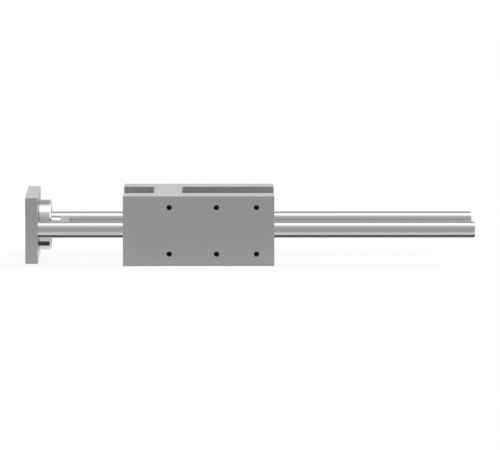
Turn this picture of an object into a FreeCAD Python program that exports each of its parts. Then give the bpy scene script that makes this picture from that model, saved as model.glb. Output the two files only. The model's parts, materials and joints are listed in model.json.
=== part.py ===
import FreeCAD, Part
import os
import re
import Sketcher

# A linear guide unit for a pneumatic cylinder: an H-shaped housing with plain bearings, two guide
# rods joined by a yoke plate, and a self-aligning coupling for the piston rod.
#
# Lengths are in millimetres. X runs along the rods to their free end, Y away from the near side and
# Z up. The origin lies on the underside of the housing, below the middle of its bridge.

# Sizes that drive the model

SIZES = [
    ("housing_length", 183, "housing along the rods"),
    ("housing_height", 85, "housing from underside to top"),
    ("front_bay", 37, "depth of the bay in front of the bridge"),
    ("bridge_thickness", 34, "bridge between the two legs"),
    ("corner_radius", 3, "inner corners of the bays"),
    ("edge_break", 0.2, "bevel on the outer edges of housing and plate"),
    ("small_bevel", 0.5, "bevel on the edges of turned pieces"),
    ("outer_wall", 2.5, "metal between a wiper seat and the side of the housing"),
    ("inner_wall", 5, "metal between a wiper seat and the bays"),
    ("square_pitch", 56.5, "side of the screw square of the cylinder, also the row pitch"),
    ("first_column", 56, "front face to the first column of side holes"),
    ("middle_column", 48.3, "middle to last column of side holes"),
    ("last_column", 21.7, "last column of side holes to the rear face"),
    ("tapped_core", 6.8, "core of a tapped mounting hole"),
    ("tapped_mouth", 7.4, "countersink of a tapped mounting hole"),
    ("tapped_depth", 20, "depth of a tapped side hole"),
    ("collar_bore", 45, "bore in the bridge for the collar of the cylinder"),
    ("screw_clear", 9, "clearance hole of a large cap screw"),
    ("screw_recess", 15, "counterbore of a large cap screw"),
    ("screw_recess_depth", 8.6, "depth of that counterbore"),
    ("rod_diameter", 20, "guide rod"),
    ("rod_pitch", 119, "distance between the two guide rods"),
    ("rod_length", 530.5, "guide rod from its seat to its free end"),
    ("rod_seat", 2, "depth of a rod in the yoke plate"),
    ("rod_bevel", 2, "bevel on the free end of a rod, along the rod"),
    ("rod_bevel_depth", 0.6, "depth of that bevel"),
    ("rod_centre", 5, "centre mark in the free end of a rod"),
    ("rest_gap", 103, "yoke plate to housing, as the unit stands at rest"),
    ("bush_wall", 3, "wall of a bearing bush"),
    ("bush_length", 32, "length of a bearing bush"),
    ("bush_inset", 0.5, "bush to the floor of the wiper seat"),
    ("running_gap", 0.03, "radial play of a rod in its bushes"),
    ("wiper_section", 4, "wiper ring from rod to seat"),
    ("wiper_width", 5, "wiper ring along the rod"),
    ("wiper_sink", 0.3, "wiper ring below the face of the housing"),
    ("wiper_shell", 1, "sheet of the wiper case"),
    ("lip_gap", 0.05, "radial play of a rod in a wiper lip"),
    ("plate_thickness", 15, "yoke plate along the rods"),
    ("plate_margin", 13, "rod axis to the end of the yoke plate"),
    ("plate_height", 80, "yoke plate from lower to upper edge"),
    ("thread_gap", 0.05, "radial play of a screw in its hole"),
    ("rod_screw_head", 13, "head of a rod screw"),
    ("rod_screw_head_height", 8, "height of that head"),
    ("rod_screw_thread", 8, "thread of a rod screw"),
    ("rod_screw_reach", 25, "rod screw below its head"),
    ("rod_screw_key", 6, "hexagon socket across flats"),
    ("rod_screw_key_depth", 4, "depth of that socket"),
    ("rod_screw_spare", 5, "tapped hole of a rod beyond its screw"),
    ("flange_diameter", 61, "coupling flange"),
    ("flange_thickness", 15.2, "coupling flange along the rods"),
    ("flange_bevel", 1.8, "bevel on the rim of the flange"),
    ("flange_margin", 6.2, "rim of the flange to a screw axis"),
    ("flange_screw_clear", 5.5, "clearance hole of a flange screw"),
    ("flange_screw_recess", 9.2, "counterbore of a flange screw"),
    ("flange_screw_recess_depth", 5.5, "depth of that counterbore"),
    ("flange_screw_head", 8.5, "head of a flange screw"),
    ("flange_screw_head_height", 5, "height of that head"),
    ("flange_screw_thread", 5, "thread of a flange screw"),
    ("flange_screw_reach", 20, "flange screw below its head"),
    ("flange_screw_key", 4, "hexagon socket across flats"),
    ("flange_screw_key_depth", 2.5, "depth of that socket"),
    ("flange_screw_floor", 2.5, "plate left behind the hole of a flange screw"),
    ("stud_diameter", 22, "shank of the coupling stud"),
    ("stud_reach", 21.6, "stud from the flange to its end"),
    ("stud_rim", 6.5, "head of the stud beyond its shank"),
    ("stud_head_height", 7, "head of the stud along the rods"),
    ("stud_float", 1.25, "radial float of the stud in the flange"),
    ("stud_play", 0.1, "axial play of the stud head"),
    ("hex_width", 20, "wrench flats of the stud"),
    ("hex_length", 10.5, "length of the wrench flats"),
    ("stud_core", 14.5, "core of the thread in the stud"),
    ("stud_core_depth", 26, "depth of that thread"),
    ("stud_mouth", 0.9, "countersink of that thread"),
    ("stud_bevel", 1.7, "depth of the bevel on the end of the stud"),
]

# Lengths that follow from the sizes, written as expressions

FRONT = "-(front_bay + bridge_thickness / 2)"
REAR = "(housing_length - front_bay - bridge_thickness / 2)"
AXIS = "(housing_height / 2)"
ROD = "(rod_diameter / 2)"
BUSH = "(rod_diameter / 2 + bush_wall)"
WIPER = "(rod_diameter / 2 + wiper_section)"
SIDE = "(rod_pitch / 2 + rod_diameter / 2 + wiper_section + outer_wall)"
BAY = "(rod_pitch / 2 - rod_diameter / 2 - wiper_section - inner_wall)"
SEAT_DEPTH = "(wiper_sink + wiper_width)"
HALF_SQUARE = "square_pitch / 2"
COLUMNS = [
    FRONT + " + first_column",
    REAR + " - last_column - middle_column",
    REAR + " - last_column",
]
PLATE = "(%s - rest_gap - plate_thickness)" % FRONT
PLATE_BACK = "(%s - rest_gap)" % FRONT
CAVITY_DEPTH = "(stud_head_height + 2 * stud_play)"
HEAD = "(stud_diameter / 2 + stud_rim)"
STUD_LENGTH = "(flange_thickness + stud_reach - stud_play)"
FLANGE_SCREWS = "(flange_diameter / 2 - flange_margin)"
FLANGE_LEDGE = "(flange_thickness - flange_screw_recess_depth)"

doc = FreeCAD.newDocument("LinearGuideUnit")
sheet = doc.addObject("Spreadsheet::Sheet", "Sizes")
for row, (alias, size, meaning) in enumerate(SIZES, start=1):
    sheet.set("A%d" % row, meaning)
    sheet.set("B%d" % row, str(size))
    sheet.setAlias("B%d" % row, alias)
doc.recompute()
ALIASES = {alias for alias, size, meaning in SIZES}


# Helpers that bind every length to the sheet

def linked(expression):
    """The expression with each size named as a cell of the sheet."""
    return re.sub(r"[a-z_]+", lambda word: ("Sizes." if word[0] in ALIASES else "") + word[0], expression)


def new_body(name, x="0", y="0", z="0", turn=None):
    """A body placed at x, y, z and turned by an (axis, degrees) pair."""
    body = doc.addObject("PartDesign::Body", name)
    body.Label = name
    if turn:
        axis, degrees = turn
        body.Placement = FreeCAD.Placement(FreeCAD.Vector(), FreeCAD.Rotation(FreeCAD.Vector(*axis), degrees))
    for letter, expression in zip("xyz", (x, y, z)):
        body.setExpression("Placement.Base." + letter, linked(expression))
    return body


def new_sketch(body, plane, height="0"):
    """A sketch on an origin plane of the body, moved along its normal by height."""
    sketch = body.newObject("Sketcher::SketchObject", "Sketch")
    support = next(item for item in body.Origin.OriginFeatures if item.Role == plane)
    sketch.AttachmentSupport = [(support, "")]
    sketch.MapMode = "FlatFace"
    sketch.setExpression("AttachmentOffset.Base.z", linked(height))
    return sketch


def bind(sketch, kind, *reference, expression):
    """Constrain a piece of the sketch to a length from the sheet."""
    length = sketch.evalExpression(linked(expression))
    number = sketch.addConstraint(Sketcher.Constraint(kind, *reference, length))
    sketch.setExpression("Constraints[%d]" % number, linked(expression))


def point(sketch, x, y):
    """The point that two expressions give now."""
    return FreeCAD.Vector(sketch.evalExpression(linked(x)), sketch.evalExpression(linked(y)), 0)


def outline(sketch, corners):
    """A closed outline through corners given as pairs of expressions."""
    points = [point(sketch, x, y) for x, y in corners]
    first = sketch.GeometryCount
    for start, end in zip(points, points[1:] + points[:1]):
        sketch.addGeometry(Part.LineSegment(start, end))
    for number, (x, y) in enumerate(corners):
        before = first + (number - 1) % len(corners)
        sketch.addConstraint(Sketcher.Constraint("Coincident", before, 2, first + number, 1))
        bind(sketch, "DistanceX", first + number, 1, expression=x)
        bind(sketch, "DistanceY", first + number, 1, expression=y)


def circles(sketch, centres, diameter):
    """One circle at each centre."""
    for x, y in centres:
        radius = sketch.evalExpression(linked(diameter)) / 2
        circle = sketch.addGeometry(Part.Circle(point(sketch, x, y), FreeCAD.Vector(0, 0, 1), radius))
        bind(sketch, "DistanceX", circle, 3, expression=x)
        bind(sketch, "DistanceY", circle, 3, expression=y)
        bind(sketch, "Diameter", circle, expression=diameter)


def hexagon(sketch, width, y="0"):
    """A hexagon with two flats level, centred on the given y."""
    half_side, corner, flat = width + " / 2 / sqrt(3)", width + " / sqrt(3)", width + " / 2"
    outline(sketch, [
        (y + " + " + corner, "0"), (y + " + " + half_side, flat), (y + " - " + half_side, flat),
        (y + " - " + corner, "0"), (y + " - " + half_side, "-" + flat), (y + " + " + half_side, "-" + flat)])


def extrude(body, kind, sketch, length, reverse=False):
    """A pad along the normal of the sketch, or a pocket against it."""
    made = body.newObject("PartDesign::" + kind, kind)
    made.Profile = sketch
    made.Reversed = reverse
    made.setExpression("Length", linked(length))
    sketch.Visibility = False
    return made


def turned(body, profile, y="0"):
    """A solid of revolution about the line at the given y, from (x, radius) pairs."""
    sketch = new_sketch(body, "XY_Plane")
    line = sketch.addGeometry(Part.LineSegment(point(sketch, "0", y), point(sketch, "10", y)), True)
    sketch.addConstraint(Sketcher.Constraint("Horizontal", line))
    bind(sketch, "DistanceX", line, 1, expression="0")
    bind(sketch, "DistanceX", line, 2, expression="10")
    bind(sketch, "DistanceY", line, 1, expression=y)
    outline(sketch, [(x, y + " + " + radius) for x, radius in profile])
    made = body.newObject("PartDesign::Revolution", "Revolution")
    made.Profile = sketch
    made.ReferenceAxis = (sketch, ["Axis0"])
    made.Angle = 360
    sketch.Visibility = False
    return made


def holes(body, plane, height, centres, diameter, depth=None, reverse=False, cut=None, drilled=False):
    """Round holes against the normal of a plane; cut is a ("Counterbore" or "Countersink", ...) tuple."""
    sketch = new_sketch(body, plane, height)
    circles(sketch, centres, diameter)
    doc.recompute()
    made = body.newObject("PartDesign::Hole", "Hole")
    made.Profile = sketch
    made.Reversed = reverse
    made.setExpression("Diameter", linked(diameter))
    made.DepthType = "Dimension" if depth else "ThroughAll"
    made.DrillPoint = "Angled" if drilled else "Flat"
    if depth:
        made.setExpression("Depth", linked(depth))
    if cut:
        made.HoleCutType = cut[0]
        made.setExpression("HoleCutDiameter", linked(cut[1]))
        if cut[0] == "Counterbore":
            made.setExpression("HoleCutDepth", linked(cut[2]))
    sketch.Visibility = False
    return made


def finish_edges(body, kind, size, wanted):
    """A Chamfer or Fillet on the edges of the body that the test picks."""
    doc.recompute()
    base = body.Tip
    names = ["Edge%d" % number for number, edge in enumerate(base.Shape.Edges, start=1) if wanted(edge)]
    made = body.newObject("PartDesign::" + kind, kind)
    made.Base = (base, names)
    made.setExpression("Radius" if kind == "Fillet" else "Size", linked(size))
    return made


def square(half):
    """The four corners of a square, as pairs of expressions."""
    return [(y + half, z + half) for y in ("-", "") for z in ("-", "")]


# The housing: an H seen from above, bored for the rods and for the cylinder

def make_housing():
    body = new_body("housing")
    sketch = new_sketch(body, "XY_Plane")
    bridge_front, bridge_rear = "-bridge_thickness / 2", "bridge_thickness / 2"
    outline(sketch, [
        (FRONT, "-" + SIDE), (REAR, "-" + SIDE), (REAR, "-" + BAY), (bridge_rear, "-" + BAY),
        (bridge_rear, BAY), (REAR, BAY), (REAR, SIDE), (FRONT, SIDE),
        (FRONT, BAY), (bridge_front, BAY), (bridge_front, "-" + BAY), (FRONT, "-" + BAY)])
    pad = extrude(body, "Pad", sketch, "housing_height")
    doc.recompute()
    box = pad.Shape.BoundBox

    def level(edge):
        return edge.BoundBox.ZLength < 1e-6

    def at_end(edge):
        x = edge.CenterOfMass.x
        return min(x - box.XMin, box.XMax - x) < 1e-6

    finish_edges(body, "Fillet", "corner_radius", lambda edge: not level(edge) and not at_end(edge))
    finish_edges(body, "Chamfer", "edge_break", lambda edge: level(edge) or at_end(edge))

    legs = [("-rod_pitch / 2", AXIS), ("rod_pitch / 2", AXIS)]
    holes(body, "YZ_Plane", FRONT, legs, "2 * " + BUSH, reverse=True,
          cut=("Counterbore", "2 * " + WIPER, SEAT_DEPTH))
    holes(body, "YZ_Plane", REAR, legs, "2 * " + WIPER, depth=SEAT_DEPTH)

    holes(body, "YZ_Plane", bridge_front, [("0", AXIS)], "collar_bore", reverse=True)
    centres = [(y, AXIS + " + " + z) for y, z in square(HALF_SQUARE)]
    holes(body, "YZ_Plane", bridge_front, centres, "screw_clear", reverse=True,
          cut=("Counterbore", "screw_recess", "screw_recess_depth"))

    rows = [AXIS + " - " + HALF_SQUARE, AXIS + " + " + HALF_SQUARE]
    near = holes(body, "XZ_Plane", SIDE, [(x, z) for x in COLUMNS for z in rows], "tapped_core",
                 depth="tapped_depth", cut=("Countersink", "tapped_mouth"), drilled=True)
    mirrored = body.newObject("PartDesign::Mirrored", "Mirrored")
    mirrored.Originals = [near]
    plane = next(item for item in body.Origin.OriginFeatures if item.Role == "XZ_Plane")
    mirrored.MirrorPlane = (plane, [""])
    body.Tip = mirrored


# Bearings and wipers at the four mouths of the leg bores

def make_bearings():
    ends = {"front": (FRONT, "+", None), "rear": (REAR, "-", ((0, 0, 1), 180))}
    sides = {"near": "-rod_pitch / 2", "far": "rod_pitch / 2"}
    for end, (face, inward, turn) in ends.items():
        for side, y in sides.items():
            place = "%s_%s" % (end, side)
            bore = "(%s + running_gap)" % ROD
            bush = new_body("bush_" + place, face + inward + "(%s + bush_inset)" % SEAT_DEPTH, y, AXIS, turn)
            turned(bush, [
                ("0", bore + " + small_bevel"), ("0", BUSH + " - small_bevel"), ("small_bevel", BUSH),
                ("bush_length - small_bevel", BUSH), ("bush_length", BUSH + " - small_bevel"),
                ("bush_length", bore + " + small_bevel"), ("bush_length - small_bevel", bore),
                ("small_bevel", bore)])

            mouth = face + inward + "wiper_sink"
            inside, back = "(%s - wiper_shell)" % WIPER, "(wiper_width - wiper_shell)"
            throat = "(%s + wiper_section * 0.3)" % ROD
            case = new_body("wiper_case_" + place, mouth, y, AXIS, turn)
            turned(case, [
                ("0", inside), ("0", WIPER), ("wiper_width", WIPER),
                ("wiper_width", throat), (back, throat), (back, inside)])

            touch = "(%s + lip_gap)" % ROD
            lip = new_body("wiper_lip_" + place, mouth, y, AXIS, turn)
            turned(lip, [
                ("wiper_width * 0.04", touch), ("wiper_width * 0.2", touch),
                ("wiper_width * 0.5", throat), (back, throat), (back, inside),
                ("wiper_width * 0.24", inside), ("wiper_width * 0.3", ROD + " + wiper_section * 0.5"),
                ("wiper_width * 0.04", ROD + " + wiper_section * 0.18")])


# The yoke plate, with seats for the rods and the flange

def make_plate():
    body = new_body("yoke_plate", PLATE, "0", AXIS)
    sketch = new_sketch(body, "YZ_Plane")
    end, top = "(rod_pitch / 2 + plate_margin)", "plate_height / 2"
    outline(sketch, [("-" + end, "-" + top), (end, "-" + top), (end, top), ("-" + end, top)])
    extrude(body, "Pad", sketch, "plate_thickness")
    finish_edges(body, "Chamfer", "edge_break", lambda edge: True)
    rods = [("-rod_pitch / 2", "0"), ("rod_pitch / 2", "0")]
    holes(body, "YZ_Plane", "0", rods, "screw_clear", reverse=True,
          cut=("Counterbore", "screw_recess", "screw_recess_depth"))
    holes(body, "YZ_Plane", "plate_thickness", rods, "rod_diameter + 2 * thread_gap", depth="rod_seat")
    holes(body, "YZ_Plane", "0", square(HALF_SQUARE), "tapped_core", reverse=True,
          cut=("Countersink", "tapped_mouth"))
    holes(body, "YZ_Plane", "plate_thickness", square(FLANGE_SCREWS + " / sqrt(2)"),
          "flange_screw_thread + 2 * thread_gap", depth="plate_thickness - flange_screw_floor")


# Guide rods and the cap screws

def make_rods():
    hole = "(rod_screw_thread / 2 + thread_gap)"
    hole_end = "(rod_screw_reach - plate_thickness + rod_seat + screw_recess_depth + rod_screw_spare)"
    for side, y in (("near", "-rod_pitch / 2"), ("far", "rod_pitch / 2")):
        rod = new_body("guide_rod_" + side, PLATE_BACK + " - rod_seat", y, AXIS)
        turned(rod, [
            ("0", hole), ("0", ROD + " - small_bevel"), ("small_bevel", ROD), ("rod_length - rod_bevel", ROD),
            ("rod_length", ROD + " - rod_bevel_depth"), ("rod_length", "rod_centre / 2"),
            ("rod_length - rod_centre * sqrt(3) / 2", "0"),
            (hole_end + " + rod_screw_thread * 0.3", "0"), (hole_end, hole)])
        screw = new_body("rod_screw_" + side, PLATE + " + screw_recess_depth", y, AXIS)
        make_cap_screw(screw, "rod_screw")


def make_cap_screw(body, size, y="0"):
    """A socket head cap screw along X whose head sits at negative x; returns its features."""
    head, height, thread = size + "_head / 2", size + "_head_height", size + "_thread / 2"
    reach, bevel = size + "_reach", size + "_thread * 0.1"
    turning = turned(body, [
        ("-" + height, "0"), ("-" + height, head + " - " + bevel), ("-" + height + " + " + bevel, head),
        ("0", head), ("0", thread), (reach + " - " + bevel, thread), (reach, thread + " - " + bevel),
        (reach, "0")], y)
    sketch = new_sketch(body, "YZ_Plane", "-" + height)
    hexagon(sketch, size + "_key", y)
    socket = extrude(body, "Pocket", sketch, size + "_key_depth", reverse=True)
    return [turning, socket]


def polar(body, originals, count):
    """Repeat features about the X axis of the body."""
    pattern = body.newObject("PartDesign::PolarPattern", "PolarPattern")
    pattern.Originals = originals
    axis = next(item for item in body.Origin.OriginFeatures if item.Role == "X_Axis")
    pattern.Axis = (axis, [""])
    pattern.Angle = 360
    pattern.Occurrences = count
    body.Tip = pattern


# The coupling: a flange on the plate that holds the head of a stud with float

def make_coupling():
    flange = new_body("coupling_flange", PLATE_BACK, "0", AXIS, ((1, 0, 0), 45))
    cavity, rim = "(%s + stud_float)" % HEAD, "flange_diameter / 2"
    bore = "(stud_diameter / 2 + stud_float)"
    turned(flange, [
        ("0", cavity), ("0", rim + " - small_bevel"), ("small_bevel", rim),
        ("flange_thickness - flange_bevel", rim), ("flange_thickness", rim + " - flange_bevel"),
        ("flange_thickness", bore + " + small_bevel"), ("flange_thickness - small_bevel", bore),
        (CAVITY_DEPTH, bore), (CAVITY_DEPTH, cavity)])
    seat = holes(flange, "YZ_Plane", "flange_thickness", [(FLANGE_SCREWS, "0")], "flange_screw_clear",
                 cut=("Counterbore", "flange_screw_recess", "flange_screw_recess_depth"))
    polar(flange, [seat], 4)

    screws = new_body("flange_screws", "%s + %s" % (PLATE_BACK, FLANGE_LEDGE), "0", AXIS,
                      ((0, 0, 1), 180))
    screws.Placement.Rotation = FreeCAD.Rotation(FreeCAD.Vector(1, 0, 0), 45) * screws.Placement.Rotation
    polar(screws, make_cap_screw(screws, "flange_screw", FLANGE_SCREWS), 4)

    stud = new_body("coupling_stud", PLATE_BACK + " + stud_play", "0", AXIS)
    shank, core = "stud_diameter / 2", "stud_core / 2"
    core_end = "(%s - stud_core_depth)" % STUD_LENGTH
    turned(stud, [
        ("0", "0"), ("0", HEAD + " - small_bevel"), ("small_bevel", HEAD),
        ("stud_head_height - small_bevel", HEAD), ("stud_head_height", HEAD + " - small_bevel"),
        ("stud_head_height", shank), (STUD_LENGTH + " - stud_bevel / sqrt(3)", shank),
        (STUD_LENGTH, shank + " - stud_bevel"), (STUD_LENGTH, core + " + stud_mouth"),
        (STUD_LENGTH + " - stud_mouth", core), (core_end, core), (core_end + " - stud_core * 0.3", "0")])
    sketch = new_sketch(stud, "YZ_Plane", STUD_LENGTH)
    circles(sketch, [("0", "0")], "stud_diameter * 1.5")
    hexagon(sketch, "hex_width")
    extrude(stud, "Pocket", sketch, "hex_length")


make_housing()
make_bearings()
make_plate()
make_rods()
make_coupling()
doc.recompute()

# Check every feature, then write one file for each body

for item in doc.Objects:
    if "Invalid" in item.State or "Error" in item.State:
        raise RuntimeError("%s did not build: %s" % (item.Label, item.State))
os.makedirs("parts", exist_ok=True)
for body in doc.findObjects("PartDesign::Body"):
    if body.Shape.isNull() or not body.Shape.isValid():
        raise RuntimeError("%s has no valid shape" % body.Label)
    body.Shape.exportStep("parts/%s.step" % body.Label)
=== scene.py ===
# %% [markdown]
# # Dressing a linear guide unit
#
# A linear guide unit keeps the rod of a cylinder from turning and from bending. Two ground
# rods slide through an H-shaped aluminium housing and carry a yoke plate at one end.
# The packed model already has every solid at its real size and place, in metres. This lesson
# adds what the solids lack: finishes, threads, knurls, light and a camera.

# %% Load the frame
import json
import math

import bpy
from mathutils import Matrix, Vector


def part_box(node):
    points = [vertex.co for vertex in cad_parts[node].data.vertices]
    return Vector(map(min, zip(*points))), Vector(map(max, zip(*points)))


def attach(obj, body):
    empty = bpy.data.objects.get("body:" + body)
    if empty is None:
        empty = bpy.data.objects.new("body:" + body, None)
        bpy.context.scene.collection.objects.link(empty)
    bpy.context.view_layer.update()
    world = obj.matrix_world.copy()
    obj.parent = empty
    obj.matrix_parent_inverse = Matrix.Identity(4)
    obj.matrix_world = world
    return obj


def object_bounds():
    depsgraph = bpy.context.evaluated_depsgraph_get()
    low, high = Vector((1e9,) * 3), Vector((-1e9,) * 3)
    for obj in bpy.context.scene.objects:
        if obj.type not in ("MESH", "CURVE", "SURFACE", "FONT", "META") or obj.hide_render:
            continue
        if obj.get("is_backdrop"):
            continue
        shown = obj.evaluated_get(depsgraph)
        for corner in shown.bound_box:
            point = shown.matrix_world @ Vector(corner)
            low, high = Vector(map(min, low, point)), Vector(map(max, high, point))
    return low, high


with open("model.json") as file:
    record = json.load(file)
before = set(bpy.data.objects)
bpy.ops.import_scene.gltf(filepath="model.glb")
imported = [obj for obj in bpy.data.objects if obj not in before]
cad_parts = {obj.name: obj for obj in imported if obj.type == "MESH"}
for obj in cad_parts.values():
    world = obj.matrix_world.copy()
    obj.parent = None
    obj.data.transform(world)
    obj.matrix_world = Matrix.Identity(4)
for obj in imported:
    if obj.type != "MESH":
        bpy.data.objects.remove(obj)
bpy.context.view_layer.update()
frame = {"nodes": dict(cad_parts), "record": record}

bpy.ops.object.select_all(action="DESELECT")

# %% [markdown]
# ## The camera
#
# The photograph was taken from far away with a long lens, so parallel edges stay almost
# parallel. The camera could be aimed by eye, but edges of known length fix it better:
# the corners of the housing and of the plate and the ends of the rods gave the distance,
# the height above the horizon and the lens, which is about 6718 pixels long in a frame
# 500 pixels wide.

# %% Place the camera
lens_pixels, frame_pixels = 6718, 500
target, distance = Vector((0.09982, 0, 0.04189)), 8.187
azimuth, elevation = math.radians(-0.220), math.radians(6.020)
flat = math.cos(elevation)
back = Vector((math.sin(azimuth) * flat, -math.cos(azimuth) * flat, math.sin(elevation)))
facing = (-back).to_track_quat("-Z", "Y").to_euler()
bpy.ops.object.camera_add(location=target + back * distance, rotation=facing)
camera = bpy.context.object
camera.data.lens = camera.data.sensor_width * lens_pixels / frame_pixels
camera.data.clip_end = 60
bpy.context.scene.camera = camera
bpy.context.scene.view_settings.view_transform = "Standard"
print("lens in mm:", round(camera.data.lens, 1))

# %% [markdown]
# ## A class for wires
#
# Every finish below is a small sum of patterns. Nodes could be added and linked one by one,
# but then the sum is hard to read. The class wraps one socket, so that `1 - grain * 0.2`
# adds the Math nodes by itself. Its method `node` adds any other node: first the type, then the
# settings, then the values or wires of the sockets. `vector` and `rise` are short for the two
# nodes that come up most.

# %% Wrap a socket
class Wire:
    """A socket that can be used in sums; node() adds any node to its tree."""

    def __init__(self, tree, socket=None):
        self.tree, self.socket = tree, socket

    def node(self, kind, settings=None, sockets=None, out=0):
        made = self.tree.nodes.new(kind)
        for name, value in (settings or {}).items():
            if name == "stops":
                ramp = made.color_ramp
                for stop in value[1:-1]:
                    ramp.elements.new(stop[0])
                for element, (place, tone) in zip(ramp.elements, value):
                    element.position, element.color = place, (tone, tone, tone, 1)
            else:
                setattr(made, name, value)
        for name, value in (sockets or {}).items():
            found = [s for i, s in enumerate(made.inputs) if s.enabled and name in (i, s.name)][0]
            if isinstance(value, Wire):
                self.tree.links.new(value.socket, found)
            else:
                found.default_value = value
        live = [s for i, s in enumerate(made.outputs) if s.enabled and out in (i, s.name)]
        return Wire(self.tree, live[0] if live else None)

    def math(self, operation, first, second):
        return self.node("ShaderNodeMath", {"operation": operation}, {0: first, 1: second})

    def vector(self, operation, first, second=None, out="Vector"):
        sockets = {0: first} if second is None else {0: first, 1: second}
        return self.node("ShaderNodeVectorMath", {"operation": operation}, sockets, out)

    def rise(self, start, end):
        """0 up to start and 1 from end on; where end is the lower one, it falls instead."""
        sockets = {"Value": self, "From Min": start, "From Max": end}
        return self.node("ShaderNodeMapRange", {}, sockets, "Result")

    def __add__(self, other):
        return self.math("ADD", self, other)

    def __sub__(self, other):
        return self.math("SUBTRACT", self, other)

    def __rsub__(self, other):
        return self.math("SUBTRACT", other, self)

    def __mul__(self, other):
        return self.math("MULTIPLY", self, other)

    def __pow__(self, other):
        return self.math("POWER", self, other)

    __radd__, __rmul__ = __add__, __mul__


def axes(net, place):
    """The three numbers of a vector."""
    split = net.node("ShaderNodeSeparateXYZ", {}, {0: place}).socket.node
    return [Wire(net.tree, socket) for socket in split.outputs]


def mixed(net, share, dark, light):
    """A colour between two colours, each a wire or three numbers."""
    first, second = [colour if isinstance(colour, Wire) else (*colour, 1) for colour in (dark, light)]
    sockets = {"Factor": share, "A": first, "B": second}
    return net.node("ShaderNodeMix", {"data_type": "RGBA"}, sockets, "Result")


print("a wire knows", [name.strip("_") for name, value in vars(Wire).items() if callable(value)])

# %% [markdown]
# ## The room
#
# Bright metal shows the room more than itself. This studio is grey at the height of the eye,
# paler around the lamp overhead and towards the backdrop, and it has a bright window on the
# right, because the bevel of the flange, which looks along the rods, is almost white in the
# photograph. A picture of a studio could be wrapped round the scene, but three ramps, each over
# the angle from a bright spot, give the same soft change with nothing to load.

# %% Make the room
bpy.context.scene.world = world = bpy.data.worlds.new("studio")
world.use_nodes = True
world.node_tree.nodes.clear()
room = Wire(world.node_tree)
looking = room.node("ShaderNodeTexCoord", out="Generated")


def glow(spot, stops):
    """A grey that depends on the angle from a bright spot; stops are the cosine and the grey."""
    nearness = room.vector("DOT_PRODUCT", looking, spot, out="Value")
    return room.node("ShaderNodeValToRGB", {"stops": stops}, {0: nearness})


overhead = Vector((0, -0.34, 0.94)), [
    (0, 0.55), (0.34, 0.55), (0.53, 0.565), (0.71, 0.605),
    (0.82, 0.66), (0.9, 0.76), (0.97, 0.93), (1, 1.1),
]
backdrop = Vector((0, 1, 0)), [
    (0, 0), (0.45, 0.01), (0.71, 0.03), (0.85, 0.055),
    (0.95, 0.105), (0.98, 0.16), (1, 0.175),
]
window = Vector((0.82, 0.36, 0.45)), [(0, 0), (0.6, 0), (0.8, 0.25), (0.9, 1.0), (1, 1.2)]
light = glow(*overhead)
for spot, stops in (backdrop, window):
    light = room.vector("ADD", light, glow(spot, stops))
lit = room.node("ShaderNodeBackground", {}, {"Color": light, "Strength": 1.0})
room.node("ShaderNodeOutputWorld", {}, {"Surface": lit})
print("room nodes:", len(world.node_tree.nodes))

# %% [markdown]
# ## The floor
#
# The unit stands on a pale floor that runs out to the horizon. A floor lit by one lamp
# turns grey far from it, so for what the camera and the mirror-like parts see it is mostly
# plain white. Near the unit a tenth of the mix is ordinary diffuse floor, which keeps the
# shadow. In the diffuse light that it throws back it counts as a dark floor, because the front
# of the housing is no paler near the floor in the photograph.

# %% Lay the floor
floor_width, floor_level = 50, -0.0005
shadow_share, fade_start, fade_end = 0.1, 0.5, 1.3
bpy.ops.mesh.primitive_plane_add(size=floor_width, location=(0, 0, floor_level))
floor = bpy.context.object
floor.name = "floor"
floor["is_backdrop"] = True
pale = bpy.data.materials.new("pale_floor")
pale.use_nodes = True
pale.node_tree.nodes.clear()
ground = Wire(pale.node_tree)
away = ground.vector("LENGTH", ground.node("ShaderNodeTexCoord", out="Object"), out="Value")
plain = 1 - shadow_share + shadow_share * away.rise(fade_start, fade_end)
rays = [f"Is {ray} Ray" for ray in ("Camera", "Glossy", "Transmission")]
seen = sum(ground.node("ShaderNodeLightPath", out=ray) for ray in rays)
shade = mixed(ground, seen, (0.2, 0.2, 0.2), (0.9, 0.9, 0.9))
matt = ground.node("ShaderNodeBsdfDiffuse", {}, {"Color": shade})
white = ground.node("ShaderNodeEmission", {}, {"Color": (1, 1, 1, 1), "Strength": 1.0})
cover = ground.node("ShaderNodeMixShader", {}, {0: seen * plain, 1: matt, 2: white})
ground.node("ShaderNodeOutputMaterial", {}, {"Surface": cover})
pale.cycles.emission_sampling = "NONE"
floor.data.materials.append(pale)
print("floor is", round(floor.dimensions.x), "m wide")

# %% [markdown]
# ## A long softbox overhead
#
# The white band on each rod tells where the lamp is. On a round bar a point that faces
# up by an angle shows what lies twice as high, less the height of the eye. The band on the
# flange is the widest, so it was measured: it shows a lamp that reaches 22.5 degrees to
# the front and 18.5 degrees to the back of straight up. The band runs along the whole rod
# without an end, so the lamp is a long strip.

# %% Hang the softbox
lamp_middle, lamp_height, lamp_length, radiance = 0.1, 1.5, 8.0, 1.05
front_angle, back_angle = math.radians(-22.5), math.radians(18.5)
reach = lamp_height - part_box("guide_rod_near")[1].z
front_edge, back_edge = reach * math.tan(front_angle), reach * math.tan(back_angle)
hung_at = lamp_middle, (front_edge + back_edge) / 2, lamp_height
bpy.ops.object.light_add(type="AREA", location=hung_at)
softbox = bpy.context.object
softbox.name = "softbox"
softbox.data.shape = "RECTANGLE"
softbox.data.size, softbox.data.size_y = lamp_length, back_edge - front_edge
softbox.data.energy = math.pi * softbox.data.size * softbox.data.size_y * radiance
softbox.visible_camera = False
print("softbox:", lamp_length, "by", round(softbox.data.size_y, 2), "m")

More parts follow.
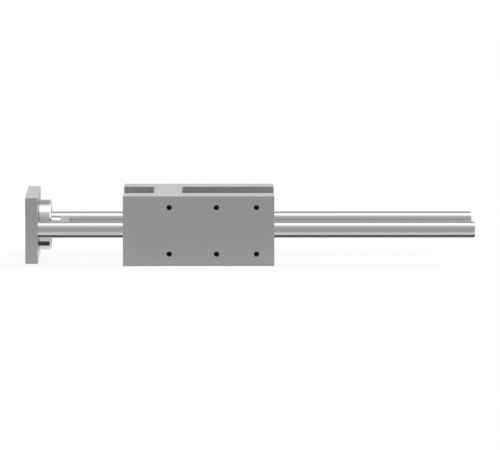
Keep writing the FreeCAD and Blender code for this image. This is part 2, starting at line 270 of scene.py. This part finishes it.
# %% [markdown]
# ## A striped card for the reflections
#
# The underside of bright round metal shows the floor. On the rods that goes from grey at the horizon to
# pale close by, and almost black straight below the rods and the flange. This card lies there out of the
# camera's sight and glows with those tones in place of a lit and shaded floor: its dark stripes are
# painted shadow of the rods and the flange. The bands could be painted on the rods instead, but on the
# card the reflection stays right from every side. The palest stripe lies under the middle and is painted
# light, so that the foot of the flange is lighter than the floor. Where the housing stands, the card is
# painted dark, as the shadow of the housing. The stripes are given as the distance from the middle in
# millimetres and the grey there.

# %% Lay the card
card_width, card_level, striped_width = 4, -0.0002, 500
# Beside the housing: the stops at 0.07 and 0.06 are painted shadow of the near rod and of the flange, and
# the stops above 1 are painted light under the foot of the flange.
beside = [
    (-250, 0.55), (-180, 0.62), (-125, 0.88), (-100, 1.0), (-76.5, 0.97), (-76.4, 0.07),
    (-45.6, 0.07), (-45.5, 0.97), (-30.8, 0.97), (-30.7, 0.06), (-12.4, 0.06), (-12.3, 1.1),
    (10, 1.1), (40, 0.95), (100, 0.95), (125, 0.88), (180, 0.62), (250, 0.55),
]
# Under the housing: from -76 to 76 mm the card is painted dark, as painted shadow of the housing.
under = [
    (-250, 0.55), (-180, 0.60), (-125, 0.78), (-100, 0.85), (-77, 0.84),
    (-76, 0.12), (76, 0.12), (77, 0.84), (125, 0.78), (250, 0.55),
]
bpy.ops.mesh.primitive_plane_add(size=card_width, location=(0, 0, card_level))
card = bpy.context.object
card.name = "painted_shade_card"
bpy.ops.object.transform_apply(location=True)
card.visible_camera = card.visible_diffuse = card.visible_shadow = False
card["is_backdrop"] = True
print("card has", len(beside), "stops beside the housing and", len(under), "under it")

# %% Paint light and shade on the card
striped = bpy.data.materials.new("painted_shade_card")
striped.use_nodes = True
striped.node_tree.nodes.clear()
card_paint = Wire(striped.node_tree)
along, across = axes(card_paint, card_paint.node("ShaderNodeTexCoord", out="Object"))[:2]
painted_tones = []
for stops in (beside, under):
    shares = [(0.5 + mm / striped_width, tone) for mm, tone in stops]
    share = across * (1000 / striped_width) + 0.5
    painted_tones.append(card_paint.node("ShaderNodeValToRGB", {"stops": shares}, {0: share}))
low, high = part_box("housing")
from_middle = along - (low.x + high.x) / 2
# Painted shadow: where the housing stands, the dark stops take over.
housing_shadow_mask = card_paint.math("LESS_THAN", from_middle * from_middle, ((high.x - low.x) / 2) ** 2)
painted_light_and_shade = mixed(card_paint, housing_shadow_mask, *painted_tones)
# The card glows with these painted tones, though it is no lamp.
glowing_card = card_paint.node("ShaderNodeEmission", {}, {"Color": painted_light_and_shade, "Strength": 1.0})
card_paint.node("ShaderNodeOutputMaterial", {}, {"Surface": glowing_card})
striped.cycles.emission_sampling = "NONE"
card.data.materials.append(striped)
print("card nodes:", len(striped.node_tree.nodes))

# %% [markdown]
# ## A start for every finish
#
# All finishes read the object's own coordinates, here in millimetres, so that a grain of a
# tenth of a millimetre is written as one. A pattern could also come from a UV map, but the
# solids have none, and a machined surface follows its axes anyway.

# %% Helpers for finishes
def new_finish(name):
    """A material, the wire that adds its nodes, and its place on the object in millimetres."""
    material = bpy.data.materials.new(name)
    material.use_nodes = True
    material.node_tree.nodes.clear()
    net = Wire(material.node_tree)
    metres = net.node("ShaderNodeTexCoord", out="Object")
    scaling = {"Vector": metres, "Scale": 1000.0}
    return material, net, net.node("ShaderNodeVectorMath", {"operation": "SCALE"}, scaling)


def grain(net, place, size, stretch=(1, 1, 1), detail=2.0):
    """Noise from 0 to 1 whose spots are about size millimetres, drawn out by stretch."""
    scaled = net.vector("MULTIPLY", place, tuple(1 / (size * s) for s in stretch))
    return net.node("ShaderNodeTexNoise", {}, {"Vector": scaled, "Scale": 1.0, "Detail": detail}, "Fac")


def dents(net, height, depth):
    """A normal from a height pattern whose full depth is given in millimetres."""
    return net.node("ShaderNodeBump", {}, {"Height": height, "Distance": depth / 1000, "Strength": 1.0})


def cover_with(net, **sockets):
    """The shader of a finish, with its sockets named in small letters."""
    named = {name.replace("_", " ").title(): value for name, value in sockets.items()}
    shader = net.node("ShaderNodeBsdfPrincipled", {}, named)
    net.node("ShaderNodeOutputMaterial", {}, {"Surface": shader})


finishes = {}
print("helpers ready")

# %% [markdown]
# ## Clear anodised aluminium
#
# Housing and plate are cut from extruded bars, etched and clear anodised. The etched skin
# scatters light almost like paint while the metal below still gleams a little, so the
# shader is three quarters metal under a dull coat. Fine die lines run along the bar: upright on
# the housing, whose bar has the outline of the H, and along the plate. The top and the
# underside of the housing are saw cuts, milled flat with one wide cutter that leaves faint arcs.
# The arcs could be a picture, but they are only noise read along a bent axis, shown where the surface
# looks up or down. Inside the bays the colour is painted a shade darker: painted shade, for the walls of
# the bay that keep light off each other.

# %% Marks of the cutter
def milled(net, place, cutter=110):
    """Arcs left by a face mill of the given radius that travels along X, and where they show."""
    x, y = axes(net, place)[:2]
    bent = x - (cutter ** 2 - y * y) ** 0.5
    travel = net.node("ShaderNodeCombineXYZ", {}, {"X": bent, "Y": 0.0, "Z": 0.0})
    up = axes(net, net.node("ShaderNodeTexCoord", out="Normal"))[2]
    level = (up * up).rise(0.6, 0.9)
    return grain(net, travel, 0.9, detail=3.0), level


print("cutter marks ready")

# %% [markdown]
# ## Rubbed edges
#
# The outer edges of a block are the first to be rubbed bright on a bench. They could be found
# by how sharply the mesh bends, but the second smallest distance to the sides of the box gives
# the way to the nearest edge, whatever the mesh. Noise is added to it, so that the bright line
# is ragged.

# %% Wear on the edges
def rubbed(net, place, node):
    """Where the outer edges of a node are rubbed bright: ragged, and under a millimetre wide."""
    clean, bright, raggedness, spots = 1.2, 0.5, 1.4, 1.5
    low, high = [1000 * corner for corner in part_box(node)]
    folded = net.vector("ABSOLUTE", net.vector("SUBTRACT", place, (low + high) / 2))
    x, y, z = axes(net, net.vector("SUBTRACT", (high - low) / 2, folded))
    edge = net.math("MAXIMUM", x, y)
    for pair in ((y, z), (z, x)):
        edge = net.math("MINIMUM", edge, net.math("MAXIMUM", *pair))
    return (edge + raggedness * grain(net, place, spots, detail=4.0)).rise(clean, bright)


print("edge wear ready")

# %% [markdown]
# ## The whole skin
#
# Die lines, etching, clouds, arcs and wear now become one finish. There could be one material
# for each kind of face, but the sums decide by place and direction which marks show, so that
# every face follows by itself. Housing and plate differ in the way their die lines run, and
# only the housing has bays.

# %% Anodised aluminium
def anodised(name, stretch, node, bay=None):
    """The finish of a node; stretch draws out its die lines, and a bay of that width gets painted shade.
    """
    material, net, place = new_finish(name)
    die_lines = grain(net, place, 0.35, stretch)
    etching = grain(net, place, 0.18)
    clouds = grain(net, place, 45, detail=3.0)
    arcs, level = milled(net, place)
    lines = die_lines * (1 - level) + arcs * level
    paleness_with_painted_shade = clouds * 0.25 + lines * 0.45 + etching * 0.3
    # Painted shade: inside the bay the colour is made darker, for the shade that its walls cast on each
    # other.
    if bay:
        across = axes(net, place)[1]
        inside = (across * across).rise((bay / 2 + 0.1) ** 2, (bay / 2 + 0.05) ** 2)
        paleness_with_painted_shade = paleness_with_painted_shade - 0.25 * inside * (1 - level)
    worn = rubbed(net, place, node)
    cover_with(
        net,
        base_color=mixed(net, paleness_with_painted_shade + 0.7 * worn, (0.40, 0.40, 0.40), (0.555, 0.555, 0.555)),
        metallic=0.75,
        roughness=0.56 + 0.16 * etching - 0.14 * lines - 0.2 * worn,
        coat_weight=0.8,
        coat_roughness=0.18,
        normal=dents(net, lines * 0.7 + etching * 0.3, 0.03),
    )
    print(name, "has", len(net.tree.nodes), "nodes")
    return material


# The width of the bays, whose walls get painted shade.
bay_width = 81
upright, crosswise = (1, 1, 60), (1, 60, 1)
finishes["anodised_aluminium"] = anodised("anodised_aluminium", upright, "housing", bay_width)
plate_finish = anodised("anodised_plate", crosswise, "yoke_plate")

# %% [markdown]
# ## Round parts
#
# Rods, flange, stud and wiper cases all come from machines that turn them, so their marks run
# round: rings along the axis on the round sides, and circles on the flat faces. One reading
# gives both, if noise is taken at the height along the axis and the radius. The two rods lie
# at the same distance on either side, so the sign of y is dropped.

# %% Read a place on a lathe
def lathe(net, place, axis):
    """The place as height along X and radius about an axis at (y, z), the same on both sides."""
    centred = net.vector("SUBTRACT", net.vector("ABSOLUTE", place), (0, *axis))
    radius = net.vector("LENGTH", net.vector("MULTIPLY", centred, (0, 1, 1)), out="Value")
    return net.node("ShaderNodeCombineXYZ", {}, {"X": axes(net, place)[0], "Y": radius, "Z": 0.0})


def end_faces(net):
    """1 where the surface looks along the axis, 0 on the round sides."""
    along = axes(net, net.node("ShaderNodeTexCoord", out="Normal"))[0]
    return (along * along).rise(0.5, 0.8)


low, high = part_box("guide_rod_far")
centre = 1000 * (low + high) / 2
rod_axis = centre.y, centre.z
stud_axis = 0, rod_axis[1]
print("rod axis at y, z in mm:", [round(length, 2) for length in rod_axis])

# %% [markdown]
# ## Hard chromed, ground rods
#
# The rods are hard chromed and then ground. A mirror would show the room too sharply, and a
# dull steel would lose the bright band. Rings of uneven width along the rod change both
# the height and the roughness a little. The end face is only faced on a lathe, so it is
# duller and its circles are deeper.

# %% Ground rod
finishes["ground_rod"], net, place = new_finish("ground_rod")
spot = lathe(net, place, rod_axis)
rings = grain(net, spot, 0.25, detail=4.0)
wide_rings = grain(net, spot, 9)
faced = end_faces(net)
cover_with(
    net,
    base_color=mixed(net, wide_rings, (0.535, 0.535, 0.535), (0.565, 0.565, 0.565)),
    metallic=1.0,
    roughness=0.07 + 0.05 * rings + 0.03 * wide_rings + 0.16 * faced,
    normal=dents(net, rings * (0.1 + 0.9 * faced), 0.004),
)
print("ground rod:", len(net.tree.nodes), "nodes")

# %% [markdown]
# ## Turned bright steel
#
# Flange and stud come straight from the lathe. The tool leaves a groove that winds round every
# surface, finer than a hair but enough to draw each highlight out into a soft fan. One scratch
# could be wound as a helix, but at this size noise over the height and the radius looks the same.

# %% Turned steel
finishes["bright_steel"], net, place = new_finish("bright_steel")
spot = lathe(net, place, stud_axis)
fine, broad = grain(net, spot, 0.22, detail=3.0), grain(net, spot, 3.0)
cover_with(
    net,
    base_color=mixed(net, broad, (0.505, 0.505, 0.505), (0.545, 0.545, 0.545)),
    metallic=1.0,
    roughness=0.11 + 0.06 * fine + 0.03 * broad,
    normal=dents(net, fine * (0.4 + 0.6 * end_faces(net)), 0.003),
)
print("turned steel:", len(net.tree.nodes), "nodes")

# %% [markdown]
# ## Screws, wiper cases, bushes and lips
#
# The small parts are zinc plated screws, drawn sheet cases, oiled sintered bushes and moulded
# rubber lips. Plating is cloudy, drawn sheet is brushed round its axis, sintered bronze has
# pores, and rubber has a fine dull grain with a trace of dust. One plain colour each could do
# at this size, but the same few helpers give each its own skin for a look from close by.

# %% Zinc plated screws
finishes["screw_steel"], net, place = new_finish("screw_steel")
cloudy = grain(net, place, 2.2, detail=4.0)
crystals = grain(net, place, 0.12)
cover_with(
    net,
    base_color=mixed(net, cloudy, (0.36, 0.37, 0.38), (0.50, 0.51, 0.52)),
    metallic=1.0,
    roughness=0.30 + 0.14 * cloudy,
    normal=dents(net, crystals, 0.003),
)
print("screw steel:", len(net.tree.nodes), "nodes")

# %% Drawn wiper cases
finishes["case_steel"], net, place = new_finish("case_steel")
drawn = grain(net, lathe(net, place, rod_axis), 0.15, detail=3.0)
cover_with(
    net,
    base_color=mixed(net, drawn, (0.40, 0.40, 0.41), (0.52, 0.52, 0.53)),
    metallic=1.0,
    roughness=0.26 + 0.12 * drawn,
    normal=dents(net, drawn, 0.002),
)
print("case steel:", len(net.tree.nodes), "nodes")

# %% Sintered bushes
finishes["bearing_bronze"], net, place = new_finish("bearing_bronze")
pores = net.node("ShaderNodeTexVoronoi", {}, {"Vector": place, "Scale": 3.5}, "Distance")
oily = grain(net, place, 4.0, detail=3.0)
open_pore = 1 - pores.rise(0.1, 0.35)
cover_with(
    net,
    base_color=mixed(net, oily * 0.6 + (1 - open_pore) * 0.4, (0.24, 0.15, 0.07), (0.58, 0.42, 0.24)),
    metallic=0.9,
    roughness=0.38 + 0.2 * open_pore - 0.12 * oily,
    normal=dents(net, 1 - open_pore, 0.02),
)
print("bearing bronze:", len(net.tree.nodes), "nodes")

# %% Rubber lips
finishes["wiper_rubber"], net, place = new_finish("wiper_rubber")
skin = grain(net, place, 0.2, detail=4.0)
dust = grain(net, place, 1.5, detail=5.0) ** 3
cover_with(
    net,
    base_color=mixed(net, dust, (0.018, 0.018, 0.018), (0.11, 0.11, 0.11)),
    roughness=0.48 + 0.22 * skin,
    normal=dents(net, skin, 0.015),
)
print("wiper rubber:", len(net.tree.nodes), "nodes")

# %% [markdown]
# ## Put the finishes on the solids
#
# The record says which finish each solid has. A list of names could be typed here, but the finishes
# follow the record. Only the plate differs: its die lines run another way than those of the housing.

# %% Assign the finishes
for part in frame["record"]["subparts"]:
    materials = frame["nodes"][part["node"]].data.materials
    materials.clear()
    materials.append(plate_finish if part["node"] == "yoke_plate" else finishes[part["material_slot"]])

# %% [markdown]
# ## Threads in the tapped holes
#
# The solids have plain core holes where the real unit has threads. A thread is one ridge
# that winds down the hole. It could be drawn as a stack of rings, but rings have no slope. A
# small four-sided outline, wound by the Screw modifier, gives the true helix. Its foot sits
# in the wall and its crest stands a third of a millimetre into the hole.

# %% Wind one ridge
def wind_ridge(name, core, pitch, turns, crest, steps):
    """A thread ridge on the Z axis that starts at z = 0 and winds upwards, sizes in millimetres."""
    bpy.ops.object.select_all(action="DESELECT")
    bpy.ops.mesh.primitive_circle_add(vertices=4, radius=1, fill_type="NOTHING")
    ridge = bpy.context.object
    ridge.name = ridge.data.name = name
    sunk, half_foot, half_tip = 0.05, 0.42 * pitch, 0.1 * pitch
    foot, tip = core + sunk, core - crest
    corners = [(foot, -half_foot), (tip, -half_tip), (tip, half_tip), (foot, half_foot)]
    for vertex, (radius, height) in zip(ridge.data.vertices, corners):
        vertex.co = Vector((radius, 0, height)) / 1000
    wound = ridge.modifiers.new("wound", "SCREW")
    wound.axis, wound.screw_offset, wound.iterations = "Z", pitch / 1000, turns
    wound.steps = wound.render_steps = steps
    bpy.ops.object.modifier_apply(modifier="wound")
    bpy.ops.object.mode_set(mode="EDIT")
    bpy.ops.mesh.select_all(action="SELECT")
    bpy.ops.mesh.remove_doubles(threshold=1e-6)
    bpy.ops.mesh.select_all(action="DESELECT")
    bpy.ops.mesh.select_mode(type="EDGE")
    bpy.ops.mesh.select_non_manifold()
    bpy.ops.mesh.fill()
    bpy.ops.mesh.select_all(action="SELECT")
    bpy.ops.mesh.normals_make_consistent(inside=False)
    bpy.ops.object.mode_set(mode="OBJECT")
    bpy.ops.object.shade_smooth_by_angle(angle=math.radians(35))
    return ridge


ridge = wind_ridge("thread", core=3.4, pitch=1.25, turns=8, crest=0.3, steps=32)
print("ridge:", len(ridge.data.polygons), "faces,", [round(1000 * x, 2) for x in ridge.dimensions])

# %% [markdown]
# ## Copy the ridge into every hole
#
# The housing has six tapped holes in each side and the plate has four for the load. Each thread
# could be wound where it belongs, but one ridge is enough: each copy gets its own mesh, turned
# to point into its hole and moved there, with the place kept in the mesh. The rows of holes
# repeat the cylinder's screw square, half of it above and half below the axis of the stud.

# %% Thread the holes
def copy_to(model, name, mouth, inward, body, finish):
    """A copy of a piece modelled upwards on the Z axis, set at mouth and pointing inward, in metres."""
    piece = model.copy()
    piece.data = model.data.copy()
    piece.name = piece.data.name = name
    bpy.context.collection.objects.link(piece)
    turn = Vector((0, 0, 1)).rotation_difference(Vector(inward)).to_matrix().to_4x4()
    piece.data.transform(Matrix.Translation(Vector(mouth)) @ turn)
    piece.data.materials.clear()
    piece.data.materials.append(finishes[finish])
    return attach(piece, body)


axis_height, half_square, thread_start = rod_axis[1] / 1000, 0.0565 / 2, 0.0009
columns, rows = (0.002, 0.059, 0.1073), (axis_height - half_square, axis_height + half_square)
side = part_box("housing")[1].y - thread_start
for i, (x, z) in enumerate([(x, z) for x in columns for z in rows]):
    copy_to(ridge, f"thread_near_{i + 1}", (x, -side, z), (0, 1, 0), "housing", "anodised_aluminium")
    copy_to(ridge, f"thread_far_{i + 1}", (x, side, z), (0, -1, 0), "housing", "anodised_aluminium")
load_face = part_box("yoke_plate")[0].x + thread_start
for i, (y, z) in enumerate([(y, z) for y in (-half_square, half_square) for z in rows]):
    copy_to(ridge, f"thread_load_{i + 1}", (load_face, y, z), (1, 0, 0), "carriage", "anodised_aluminium")
bpy.data.objects.remove(ridge)

# %% Thread the stud
thread_start = 0.0016
stud_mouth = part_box("coupling_stud")[1].x - thread_start
ridge = wind_ridge("thread", core=7.25, pitch=1.5, turns=14, crest=0.4, steps=48)
copy_to(ridge, "thread_stud", (stud_mouth, 0, axis_height), (-1, 0, 0), "coupling", "bright_steel")
bpy.data.objects.remove(ridge)
print("stud thread starts at x =", round(1000 * stud_mouth, 1), "mm")

# %% [markdown]
# ## Knurled screw heads
#
# A socket head screw has a straight knurl round its head, for starting it by hand. The
# solid has a smooth head. Each tooth could be a piece of its own, but a ring of many sides, with
# every second edge pulled in and its rims folded to the inside, slips over the head like the
# real rolled teeth.

# %% Roll one knurl
def roll_knurl(name, radius, tooth, teeth, length):
    """A closed ring of straight teeth on the Z axis from z = 0 upwards, sizes in millimetres."""
    crest, valley, inside = radius + tooth, radius - 0.02, radius - 0.25
    bpy.ops.object.select_all(action="DESELECT")
    bpy.ops.mesh.primitive_cylinder_add(
        vertices=2 * teeth, radius=crest / 1000, depth=length / 1000,
        end_fill_type="NOTHING", location=(0, 0, length / 2000),
    )
    knurl = bpy.context.object
    bpy.ops.object.transform_apply(location=True)
    knurl.name = knurl.data.name = name
    turn = math.pi / teeth
    bpy.ops.object.mode_set(mode="EDIT")
    bpy.ops.mesh.select_all(action="DESELECT")
    bpy.ops.object.mode_set(mode="OBJECT")
    for vertex in knurl.data.vertices:
        vertex.select = round(math.atan2(vertex.co.y, vertex.co.x) / turn) % 2 == 0
    bpy.ops.object.mode_set(mode="EDIT")
    shrink = valley / crest
    bpy.ops.transform.resize(value=(shrink, shrink, 1), center_override=(0, 0, 0))
    for end in (0, length / 1000):
        bpy.ops.mesh.select_all(action="DESELECT")
        bpy.ops.object.mode_set(mode="OBJECT")
        for vertex in knurl.data.vertices:
            outside = vertex.co.xy.length * 2000 > valley + inside
            vertex.select = outside and abs(vertex.co.z - end) < 1e-7
        bpy.ops.object.mode_set(mode="EDIT")
        bpy.ops.mesh.select_mode(type="EDGE")
        bpy.ops.mesh.extrude_edges_move()
        shrink = inside / crest
        bpy.ops.transform.resize(value=(shrink, shrink, 1), center_override=(0, 0, 0))
        bpy.ops.mesh.select_mode(type="VERT")
    bpy.ops.mesh.select_all(action="DESELECT")
    bpy.ops.mesh.select_mode(type="EDGE")
    bpy.ops.mesh.select_non_manifold()
    bpy.ops.mesh.bridge_edge_loops()
    bpy.ops.mesh.select_all(action="SELECT")
    bpy.ops.mesh.normals_make_consistent(inside=False)
    bpy.ops.mesh.select_mode(type="VERT")
    bpy.ops.object.mode_set(mode="OBJECT")
    return knurl


head_radius, bare_rim = 6.5, 0.9
knurl = roll_knurl("knurl", head_radius, tooth=0.22, teeth=44, length=6.4)
print("knurl:", len(knurl.data.polygons), "faces")

# %% Knurl the rod screws
for rod in ("near", "far"):
    low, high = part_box(f"rod_screw_{rod}")
    spot = low.x + bare_rim / 1000, (low.y + high.y) / 2, axis_height
    copy_to(knurl, f"knurl_rod_{rod}", spot, (1, 0, 0), "carriage", "screw_steel")
bpy.data.objects.remove(knurl)

# %% Knurl the flange screws
head_radius, bare_rim = 4.25, 0.6
knurl = roll_knurl("knurl", head_radius, tooth=0.14, teeth=36, length=3.9)
low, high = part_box("flange_screws")
aside = high.y - head_radius / 1000
for i, (up, over) in enumerate([(1, 1), (1, -1), (-1, 1), (-1, -1)]):
    spot = high.x - bare_rim / 1000, over * aside, axis_height + up * aside
    copy_to(knurl, f"knurl_flange_{i + 1}", spot, (-1, 0, 0), "carriage", "screw_steel")
bpy.data.objects.remove(knurl)

# %% [markdown]
# ## The box of the dressed part
#
# The dressed part must stay inside the box of the solids. That could be judged by eye; here the box round
# all that is shown, the floor and the card left out, is measured.

# %% Measure the box
low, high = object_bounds()
